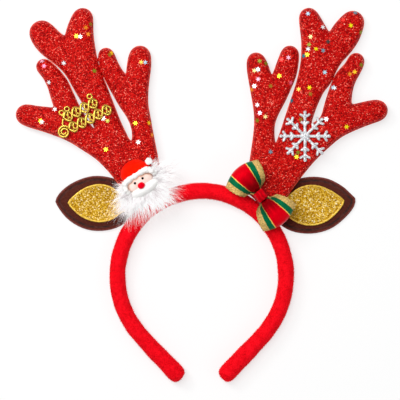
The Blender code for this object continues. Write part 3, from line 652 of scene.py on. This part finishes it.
cap = ball("cap", (1.0, 10.2, 0.4), (9.7, 7.4, 5.2), enamel["cap"], 32)
places = vertex_array(cap) / MM
droop = np.clip((places[:, 0] - 3.0) / 8.0, 0, 1)
places[:, 1] -= 1.6 * droop ** 2
pull = np.clip((places[:, 0] - 5.0) / 6.0, 0, 1)
places[:, 2] -= 0.45 * pull * (1 + np.cos((places[:, 1] - 11.0) * 2.6))
cap.data.vertices.foreach_set("co", (places * MM).ravel())
# Arch of the brim: x, y and how far each tuft of the fleece stands out.
brim_rows = [(-10.0, 2.6, 1.7), (-9.8, 4.6, 1.9), (-8.6, 6.3, 2.1), (-6.7, 7.1, 2.2),
             (-4.6, 7.3, 2.3), (-2.5, 7.7, 2.2), (-0.4, 7.5, 2.3), (1.8, 7.9, 2.2),
             (3.9, 7.5, 2.3), (6.0, 7.6, 2.2), (8.0, 7.1, 2.3), (9.7, 5.9, 2.3),
             (10.6, 4.3, 1.8)]
brim = fused("brim", [ball("tuft", (x, y, 2.9 + 0.5 * math.cos(3.1 * i)), (half, half, 3.6),
                           enamel["white"], 16) for i, (x, y, half) in enumerate(brim_rows)],
             0.33 * MM, 3)
face = ball("face", (0.2, 2.8, 0.2), (9.4, 5.8, 5.6), enamel["skin"], 40)
beard = ball("beard", (0.8, -2.8, 0.4), (10.4, 4.1, 5.6), enamel["white"], 40)
bobble = fused("bobble", [ball("tuft", (12.2 + 1.0 * math.cos(a), 10.9 + 1.0 * math.sin(a), h),
                               (1.5, 1.5, 1.6), enamel["white"], 12)
                          for a, h in ((0, 2.0), (1.3, 2.6), (2.6, 2.1), (3.9, 2.6), (5.2, 2.2),
                                       (0.6, 1.2), (3.4, 1.2))], 0.3 * MM, 3)
curls = [ball("curl", (-9.7, 0.9, 2.2), (1.75, 1.75, 1.9), enamel["white"], 16),
         ball("curl", (11.2, 2.7, 2.2), (1.75, 1.75, 1.9), enamel["white"], 16)]
eyes = [ball("eye", (u, v, h), (0.85, 0.85, 0.7), enamel["eye"], 16)
        for u, v, h in ((-2.7, 3.5, 5.55), (3.1, 3.55, 5.5))]
nose = ball("nose", (0.0, 0.0, 6.0), (2.4, 2.15, 2.1), enamel["nose"], 24)
# Painted shade: the face is drawn brown in the corner under the brim, fading out 1.5 mm from it.
tree_of_brim = kdtree.KDTree(len(brim.data.vertices))
for point in brim.data.vertices:
    tree_of_brim.insert(point.co, point.index)
tree_of_brim.balance()
apply_modifier(face, "SUBSURF", levels=1, render_levels=1)
painted_brim_shade = face.data.attributes.new("painted_brim_shade", "FLOAT", "POINT")
for point in face.data.vertices:
    gap = tree_of_brim.find(point.co)[2] / MM
    painted_brim_shade.data[point.index].value = max(0.0, 1 - gap / 1.5)
skin_tree = enamel["skin"].node_tree
skin_shader = skin_tree.nodes["Principled BSDF"]
plain = skin_shader.inputs["Base Color"].links[0].from_socket
# Painted shade: brown mixed into the face colour by the brim's nearness.
brim_shaded = node(skin_tree, "ShaderNodeMix", {"data_type": "RGBA"}, i6=plain, i7=colour("b88468"),
              i0=node(skin_tree, "ShaderNodeAttribute",
                      {"attribute_name": "painted_brim_shade"}).outputs["Fac"])
link(skin_shader, Base_Color=brim_shaded.outputs[2])

head = joined([face, cap, brim, beard, bobble, nose, *curls, *eyes], "resin_head_cast")
edit_all()
bpy.ops.mesh.bisect(plane_co=(0, 0, 0), plane_no=(0, 0, 1), clear_inner=True, use_fill=True)
bpy.ops.object.mode_set(mode="OBJECT")
head.data.transform(HEAD_PLACE)
head.data.shade_smooth()
head.data.set_sharp_from_angle(angle=math.radians(60))
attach(head, "root")
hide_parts("resin_head")


# Gold scroll. A pierced plastic charm, moulded as wires twisted into two braids with a spiral,
# a curl and three eyelets, then vacuum metallised. It is glued slanting over the left antler.
CHARM_MIDDLE = Vector((-76.5, 50.8))
CHARM_TILT = math.radians(27)
CHARM_HEIGHT = 8.3
# Vacuum metallised gold: a bright mirror, drawn dark brown in the grooves between the turns as
# painted shade.
bright_gold, tree, shader, place = new_material("metallised_gold", Metallic=0.8, Roughness=0.28)
painted_groove_shade = node(tree, "ShaderNodeAttribute", {"attribute_name": "painted_groove_shade"}).outputs["Fac"]
tinted(shader, painted_groove_shade, [(0.0, "f8dc70"), (0.45, "dcb038"), (1.0, "5c4006")])
pits = node(tree, "ShaderNodeTexNoise", Vector=place, Scale=1 / (0.7 * MM))
bumped(shader, pits.outputs["Fac"], strength=0.3, depth=0.1 * MM)
RIB = 0.42


def wire(points, thick):
    """A twisted wire along points in millimetres: a tube that swells and narrows at each turn."""
    points = [Vector(p) for p in points]
    lengths = [0.0]
    for a, b in zip(points, points[1:]):
        lengths.append(lengths[-1] + (b - a).length)
    count = max(4, round(lengths[-1] / RIB))
    line = bpy.data.curves.new("wire", "CURVE")
    line.dimensions = "3D"
    line.bevel_depth = thick * MM
    line.bevel_resolution = 2
    line.use_fill_caps = True
    spline = line.splines.new("POLY")
    spline.points.add(count)
    at = 0
    for k in range(count + 1):
        along = lengths[-1] * k / count
        while at < len(lengths) - 2 and lengths[at + 1] < along:
            at += 1
        share = (along - lengths[at]) / max(lengths[at + 1] - lengths[at], 1e-9)
        spot = points[at].lerp(points[at + 1], share) * MM
        spline.points[k].co = (*spot, 1.0)
        spline.points[k].radius = 1.0 if k % 2 else 0.66
    centres = [(Vector(p.co[:3]), p.radius) for p in spline.points]
    piece = new_object("wire", line)
    choose(piece)
    bpy.ops.object.convert(target="MESH")
    piece = bpy.context.object
    finder = kdtree.KDTree(len(centres))
    for k, (spot, _) in enumerate(centres):
        finder.insert(spot, k)
    finder.balance()
    # Painted shade: the narrow points between the turns are marked to be drawn dark brown.
    painted_shade = piece.data.attributes.new("painted_groove_shade", "FLOAT", "POINT")
    for point in piece.data.vertices:
        nearest = finder.find(point.co)[1]
        painted_shade.data[point.index].value = 1.0 if centres[nearest][1] < 0.8 else 0.0
    return piece


def braid(start, end, height, swing, crossing):
    """One strand of a braid that passes over and under its fellow at each crossing."""
    rows = []
    for k in range(121):
        along = start + (end - start) * k / 120
        turn = math.pi * (along - start) / crossing
        rows.append((along, height + swing * math.sin(turn),
                     CHARM_HEIGHT + 0.05 + math.copysign(0.4, swing) * math.cos(turn)))
    return rows


def coil(middle, outer, inner, start, turns):
    """A spiral from an outer to an inner radius, or a ring where both are the same."""
    rows = []
    steps = round(turns * 30)
    for k in range(steps + 1):
        angle = math.radians(start) + math.tau * turns * k / steps
        radius = outer + (inner - outer) * k / steps
        rows.append((middle[0] + radius * math.cos(angle), middle[1] + radius * math.sin(angle),
                     CHARM_HEIGHT))
    return rows


# Ends and heights of the two braids. Each has a coarse pair of wires and a fine pair inside it.
BRAIDS = ((12, 4.7), (18, -3.1))
wires = [wire(braid(-12, end, height, way * swing, crossing), thick)
         for swing, crossing, thick in ((3.2, 6.0, 0.95), (2.4, 3.0, 0.7))
         for end, height in BRAIDS for way in (1, -1)]
wires.append(wire(coil((-16.0, -3.4), 4.2, 1.0, 10, 1.9), 0.85))
wires += [wire(coil(eyelet, 1.5, 1.5, 0, 1.02), 0.65)
          for eyelet in ((9.2, 9.8), (-11.8, 8.6), (-7.6, 9.2))]
wires += [wire([(x, y, CHARM_HEIGHT) for x, y in route], thick)
          for route, thick in ((((-12.6, 4.6), (-14.6, 1.8), (-14.4, -0.4)), 0.8),
                               (((-12.2, 6.9), (-12.0, 4.9)), 0.7))]
charm = joined(wires, "gold_scroll")
charm.data.materials.clear()
charm.data.materials.append(bright_gold)
edit_all()
bpy.ops.transform.rotate(value=-CHARM_TILT, orient_axis="Z", center_override=(0, 0, 0))
bpy.ops.transform.translate(value=(CHARM_MIDDLE.x * MM, CHARM_MIDDLE.y * MM, 0))
bpy.ops.transform.rotate(value=-LEAN, orient_axis="X", center_override=(0, LEAN_FROM_Y, 0))
bpy.ops.object.mode_set(mode="OBJECT")
charm.data.shade_smooth()
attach(charm, "root")
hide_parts("scroll_charm")


# Snowflake. Moulded in white plastic with eight arms, each with two pairs of rounded barbs, and
# rolled in fine silver glitter while its lacquer was wet. It is glued on the right antler.
SNOWFLAKE_MIDDLE = Vector((66.9, 37.9))
SNOWFLAKE_HEIGHT = 8.0
ARMS = 8
ARM_LENGTH = 15.6
# Pairs of barbs: where they leave the arm, and how far out and how far aside they end.
BARBS = ((7.4, 9.0, 2.0), (12.2, 14.0, 2.8))
# Silver glitter lacquer: pale grey grains 0.3 mm across, drawn 0.5 mm wide, each of a random
# grey, the palest drawn white as painted glints.
frost, tree, shader, place = new_material("silver_glitter_lacquer", Metallic=0.15)
grains = node(tree, "ShaderNodeTexVoronoi", Vector=place, Scale=1 / (0.53 * MM))
grain = node(tree, "ShaderNodeSeparateColor", Color=grains.outputs["Color"])
tinted(shader, grain.outputs["Red"], [(0.0, "94949a"), (0.35, "c2c3c7"), (0.7, "dedfe2"),
                                      (0.95, "ffffff")])
roughened(shader, grain.outputs["Green"], low=0.2, high=0.55)
bumped(shader, grain.outputs["Red"], strength=0.8, depth=0.2 * MM)


def bead_bar(start, end, widths, tall):
    """A rounded bar between two places in millimetres, its width and height at both ends."""
    start, end = Vector(start), Vector(end)
    pieces = []
    steps = max(2, round((end - start).length / 0.35))
    for k in range(steps + 1):
        share = k / steps
        half = widths[0] + (widths[1] - widths[0]) * share
        spot = start.lerp(end, share)
        pieces.append(ball("bead", (spot.x, spot.y, SNOWFLAKE_HEIGHT), (half, half, tall),
                           frost, 10))
    return pieces


arm = bead_bar((0, 0, 0), (ARM_LENGTH, 0, 0), (1.1, 0.95), 0.85)
arm.append(ball("tip", (15.5, 0, SNOWFLAKE_HEIGHT), (1.3, 1.25, 0.95), frost, 12))
for inner_end, outer_end, spread in BARBS:
    for way in (-1, 1):
        arm += bead_bar((inner_end, 0, 0), (outer_end, way * spread, 0), (0.75, 1.0), 0.85)
snowflake = joined(arm, "glitter_snowflake")
apply_modifier(snowflake, "REMESH", mode="VOXEL", voxel_size=0.3 * MM)
edit_all()
for k in range(ARMS - 1):
    bpy.ops.mesh.duplicate()
    bpy.ops.transform.rotate(value=math.tau / ARMS, orient_axis="Z", center_override=(0, 0, 0))
bpy.ops.mesh.select_all(action="SELECT")
bpy.ops.object.mode_set(mode="OBJECT")
apply_modifier(snowflake, "REMESH", mode="VOXEL", voxel_size=0.27 * MM)
apply_modifier(snowflake, "SMOOTH", factor=0.5, iterations=2)
edit_all()
bpy.ops.transform.translate(value=(SNOWFLAKE_MIDDLE.x * MM, SNOWFLAKE_MIDDLE.y * MM, 0))
bpy.ops.transform.rotate(value=-LEAN, orient_axis="X", center_override=(0, LEAN_FROM_Y, 0))
bpy.ops.object.mode_set(mode="OBJECT")
snowflake.data.materials.clear()
snowflake.data.materials.append(frost)
snowflake.data.shade_smooth()
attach(snowflake, "root")
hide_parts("snowflake")


# Bow. One length of 27 mm satin ribbon, red with green stripes and gold gauze edges, folded to
# a loop each way, pinched in the middle and wrapped with a scrap of red satin.
BOW_PLACE = (Matrix.Translation((37.9 * MM, -0.3 * MM, 0))
             @ Matrix.Rotation(math.radians(-49.5), 4, "Z"))
BOW_BASE = 13.8
BOW_FAN = 20.0
# Course of one loop from the knot and back: along the bow, height and half width.
BOW_COURSE = [
    (0.0, 0.6, 3.3), (4.6, 0.6, 3.6), (8.0, 0.7, 8.4), (12.0, 0.7, 10.7), (17.0, 0.8, 12.4),
    (21.5, 1.5, 13.3), (23.0, 3.6, 13.5), (22.3, 6.2, 13.4), (19.0, 8.6, 12.9),
    (15.0, 9.6, 11.8), (11.0, 8.9, 10.2), (7.5, 5.9, 8.0), (4.6, 2.7, 3.6), (0.0, 2.3, 3.3),
]
# Polyester satin: smooth and bright, with cross ribs 0.3 mm apart that are drawn 0.6 mm apart
# to show. The gold edges are gauze of lurex thread, drawn mottled as painted glints and shade,
# and a gold thread edges the red.
RIBS = 172
satin, tree, shader, place = new_material("striped_satin_ribbon", Specular_IOR_Level=0.6)
flat_map = node(tree, "ShaderNodeUVMap", {"uv_map": "UVMap"}).outputs["UV"]
parts = node(tree, "ShaderNodeSeparateXYZ", Vector=flat_map)
wobble = node(tree, "ShaderNodeTexNoise", {"noise_dimensions": "1D"}, Scale=70.0,
              W=parts.outputs["Y"])
wobbled = node(tree, "ShaderNodeMath", {"operation": "MULTIPLY_ADD"},
               i0=wobble.outputs["Fac"], i1=0.02, i2=parts.outputs["X"])
across = node(tree, "ShaderNodeMath", {"operation": "SUBTRACT"}, i0=wobbled.outputs[0], i1=0.51)
share = node(tree, "ShaderNodeMath", {"operation": "ABSOLUTE"}, i0=across.outputs[0])
stripes = node(tree, "ShaderNodeValToRGB",
               stops=[(0.0, "d40014"), (0.214, "f0c860"), (0.232, "08603c"), (0.36, "c8a662")],
               Fac=share.outputs[0])
stripes.color_ramp.interpolation = "CONSTANT"
mottle = node(tree, "ShaderNodeTexNoise", Vector=place, Scale=1 / (0.77 * MM), Detail=2.0)
# Painted glints and shade of the lurex thread: full on the gold gauze, faint on the satin.
light_dark = node(tree, "ShaderNodeMapRange", Value=mottle.outputs["Fac"], From_Min=0.3,
                  From_Max=0.7, To_Min=0.5, To_Max=1.45)
gauze = node(tree, "ShaderNodeMath", {"operation": "GREATER_THAN"}, i0=share.outputs[0],
             i1=0.36)
speckle = node(tree, "ShaderNodeMapRange", Value=gauze.outputs[0], To_Min=0.15, To_Max=1.0)
toned = node(tree, "ShaderNodeMix", {"data_type": "RGBA", "blend_type": "MULTIPLY"},
             i0=speckle.outputs["Result"], i6=stripes.outputs["Color"],
             i7=light_dark.outputs["Result"])
# Painted shade: the folds beside the knot are drawn darker, where satin turns from the light.
crease_shade = node(tree, "ShaderNodeAttribute", {"attribute_name": "painted_crease_shade"}).outputs["Fac"]
painted_shade = node(tree, "ShaderNodeMapRange", Value=crease_shade, To_Min=1.0, To_Max=0.3)
shaded = node(tree, "ShaderNodeMix", {"data_type": "RGBA", "blend_type": "MULTIPLY"}, i0=1.0,
              i6=toned.outputs[2], i7=painted_shade.outputs["Result"])
link(shader, Base_Color=shaded.outputs[2], Specular_Tint=stripes.outputs["Color"])
roughened(shader, gauze.outputs[0], low=0.28, high=0.6)
ribs = node(tree, "ShaderNodeTexWave", {"bands_direction": "Y"}, Vector=flat_map,
            Scale=math.tau / 20 * RIBS, Distortion=1.5, Detail=1.0)
thread = node(tree, "ShaderNodeMix", i0=0.5, i2=ribs.outputs["Fac"],
              i3=mottle.outputs["Fac"])
bumped(shader, thread.outputs[0], strength=0.25, depth=0.15 * MM)


def eased(rows, at):
    """A row between the rows of a closed table, smooth through them."""
    count = len(rows)
    k, t = int(at) % count, at - int(at)
    p, q, r, s = (np.array(rows[(k + i) % count]) for i in (-1, 0, 1, 2))
    return 0.5 * (2 * q + (r - p) * t + (2 * p - 5 * q + 4 * r - s) * t * t
                  + (3 * q - p - 3 * r + s) * t ** 3)


loop_rows = BOW_COURSE[:-1] + [(-x, z, half) for x, z, half in BOW_COURSE[:0:-1]]
ACROSS, ALONG = 28, 208
bpy.ops.object.select_all(action="DESELECT")
bpy.ops.mesh.primitive_grid_add(x_subdivisions=ACROSS, y_subdivisions=ALONG, size=1.0,
                                calc_uvs=True)
ribbon = bpy.context.object
ribbon.name = "satin_bow"
painted_crease_shade = ribbon.data.attributes.new("painted_crease_shade", "FLOAT", "POINT")
places = vertex_array(ribbon)
for i, (flat_x, flat_y, _) in enumerate(places):
    share_along = flat_y + 0.5
    along, height, half = eased(loop_rows, share_along * len(loop_rows) * 0.99999)
    ahead = (eased(loop_rows, (share_along * len(loop_rows) + 0.05) % len(loop_rows))
             - eased(loop_rows, (share_along * len(loop_rows) - 0.05) % len(loop_rows)))
    ahead = Vector((ahead[0], ahead[1])).normalized()
    u = flat_x * 2
    width = half * u
    back = math.copysign(width * width / (2 * BOW_FAN), along) if abs(along) > 1e-6 else 0.0
    near = math.exp(-((abs(along) - 6.0) / 8.5) ** 2) * min(1.0, abs(along) / 5.0)
    front = 1.0 if height > 2.2 else 0.25
    way = math.copysign(1.0, along)
    dip = near * front * (3.2 * u * u - 2.3 + 0.7 * way * u)
    pleat = 0.8 * near * front * math.cos(3.4 * math.pi * u + 0.7 * way)
    width += 0.3 * u ** 7 * math.sin(2.3 * (along + height))
    lift = dip + pleat
    # Painted shade kept with each point: darker in the dip and the pleats close by the knot.
    painted_crease_shade.data[i].value = min(1.0, max(0.0, -lift / 2.4) + 0.5 * near ** 4 * front)
    places[i] = (along - back - ahead.y * lift, width, BOW_BASE + height + ahead.x * lift * -1)
ribbon.data.vertices.foreach_set("co", (places * MM).ravel())
edit_all()
bpy.ops.mesh.remove_doubles(threshold=0.02 * MM)
bpy.ops.object.mode_set(mode="OBJECT")
apply_modifier(ribbon, "SOLIDIFY", thickness=0.4 * MM, offset=0.0)
ribbon.data.transform(BOW_PLACE)
ribbon.data.materials.append(satin)
ribbon.data.shade_smooth()
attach(ribbon, "root")
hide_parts("bow_ribbon")

# The wrap round the middle: the same satin, red only, drawn into long soft pleats, with painted
# shade that darkens it in the pleats and where it turns under.
red_satin, tree, shader, place = new_material("red_satin", Roughness=0.34, Specular_IOR_Level=0.6,
                                              Specular_Tint=colour("ff2030"))
shades = node(tree, "ShaderNodeTexNoise", Vector=place, Scale=1 / (3.3 * MM), Detail=2.0)
tints = node(tree, "ShaderNodeValToRGB", stops=[(0.35, "c20010"), (0.65, "dc0418")],
             Fac=shades.outputs["Fac"])
knot_shade = node(tree, "ShaderNodeAttribute", {"attribute_name": "painted_knot_shade"}).outputs["Fac"]
shaded = node(tree, "ShaderNodeMix", {"data_type": "RGBA"}, i0=knot_shade, i6=tints.outputs["Color"],
              i7=colour("6c0008"))
link(shader, Base_Color=shaded.outputs[2])
fine = node(tree, "ShaderNodeTexNoise", Vector=place, Scale=1 / (0.4 * MM))
bumped(shader, fine.outputs["Fac"], strength=0.15, depth=0.1 * MM)
knot = solid_copy("bow_knot", "satin_knot")
apply_modifier(knot, "SUBSURF", levels=4, render_levels=4)
places = vertex_array(knot)
local = np.array([BOW_PLACE.inverted() @ Vector(p) for p in places]) / MM
outer = np.clip(1 - (local[:, 0] / 3.7) ** 2, 0, 1)
top = local[:, 2] > BOW_BASE + 3.0
local[:, 1] *= 1.06 - 0.14 * outer
local[:, 2] += np.where(top, 0.5 * outer - 0.3, 0)
local[:, 2] += np.where(top, 0.42 * np.cos(local[:, 1] * 2.4 + 0.7 * np.sin(local[:, 0])), 0)
places = np.array([BOW_PLACE @ Vector(p * MM) for p in local])
knot.data.vertices.foreach_set("co", places.ravel())
# Painted shade: darker in the pleats, toward the sides where the wrap turns under, and at its
# ends.
depth = 0.5 - 0.5 * np.cos(local[:, 1] * 2.4 + 0.7 * np.sin(local[:, 0]))
turned = (np.abs(local[:, 1]) / np.abs(local[:, 1]).max()) ** 4
knot.data.attributes.new("painted_knot_shade", "FLOAT", "POINT").data.foreach_set(
    "value", np.clip(0.45 * depth + 0.7 * turned + 0.3 * (1 - outer) ** 2, 0, 0.9))
knot.data.materials.append(red_satin)
knot.data.shade_smooth()
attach(knot, "root")
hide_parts("bow_knot")


# Studio. A plain white table top under soft, even light from above and the left, and a camera
# that looks straight down at the front, from a little over a metre.
bpy.ops.object.select_all(action="DESELECT")
bpy.ops.mesh.primitive_plane_add(size=6.0, location=(0, 0, -0.2 * MM))
floor = bpy.context.object
floor.name = "floor"
table_top, *_ = new_material("white_laminate", Roughness=0.9,
                             Base_Color=colour("909090"), Specular_IOR_Level=0.05,
                             Emission_Color=colour("ffffff"), Emission_Strength=0.68)
floor.data.materials.append(table_top)

world = bpy.data.worlds.new("studio")
bpy.context.scene.world = world
world.use_nodes = True
world.node_tree.nodes["Background"].inputs["Color"].default_value = colour("ffffff")
world.node_tree.nodes["Background"].inputs["Strength"].default_value = 0.36
for name, place, size, power in (("softbox", (-0.3, 0.35, 1.3), 0.7, 12.0),
                                 ("key", (-0.6, 0.5, 0.8), 0.3, 4.0),
                                 ("fill", (0.8, -0.4, 0.8), 0.6, 1.5)):
    lamp = bpy.data.lights.new(name, "AREA")
    lamp.size = size
    lamp.energy = power
    holder = new_object(name, lamp)
    holder.location = place
    holder.rotation_euler = (-Vector(place)).to_track_quat("-Z", "Y").to_euler()

# Middle of the view, half its width and the height at which it is that wide.
VIEW_MIDDLE = (-1.14 * MM, -3.15 * MM)
HALF_VIEW = 0.13
VIEW_HEIGHT = 8 * MM
eye = bpy.data.cameras.new("camera")
eye.lens = 150
eye.sensor_width = 36
distance = HALF_VIEW / (eye.sensor_width / 2 / eye.lens)
camera = new_object("camera", eye)
camera.location = (*VIEW_MIDDLE, VIEW_HEIGHT + distance)
bpy.context.scene.camera = camera
bpy.context.scene.view_settings.view_transform = "Standard"
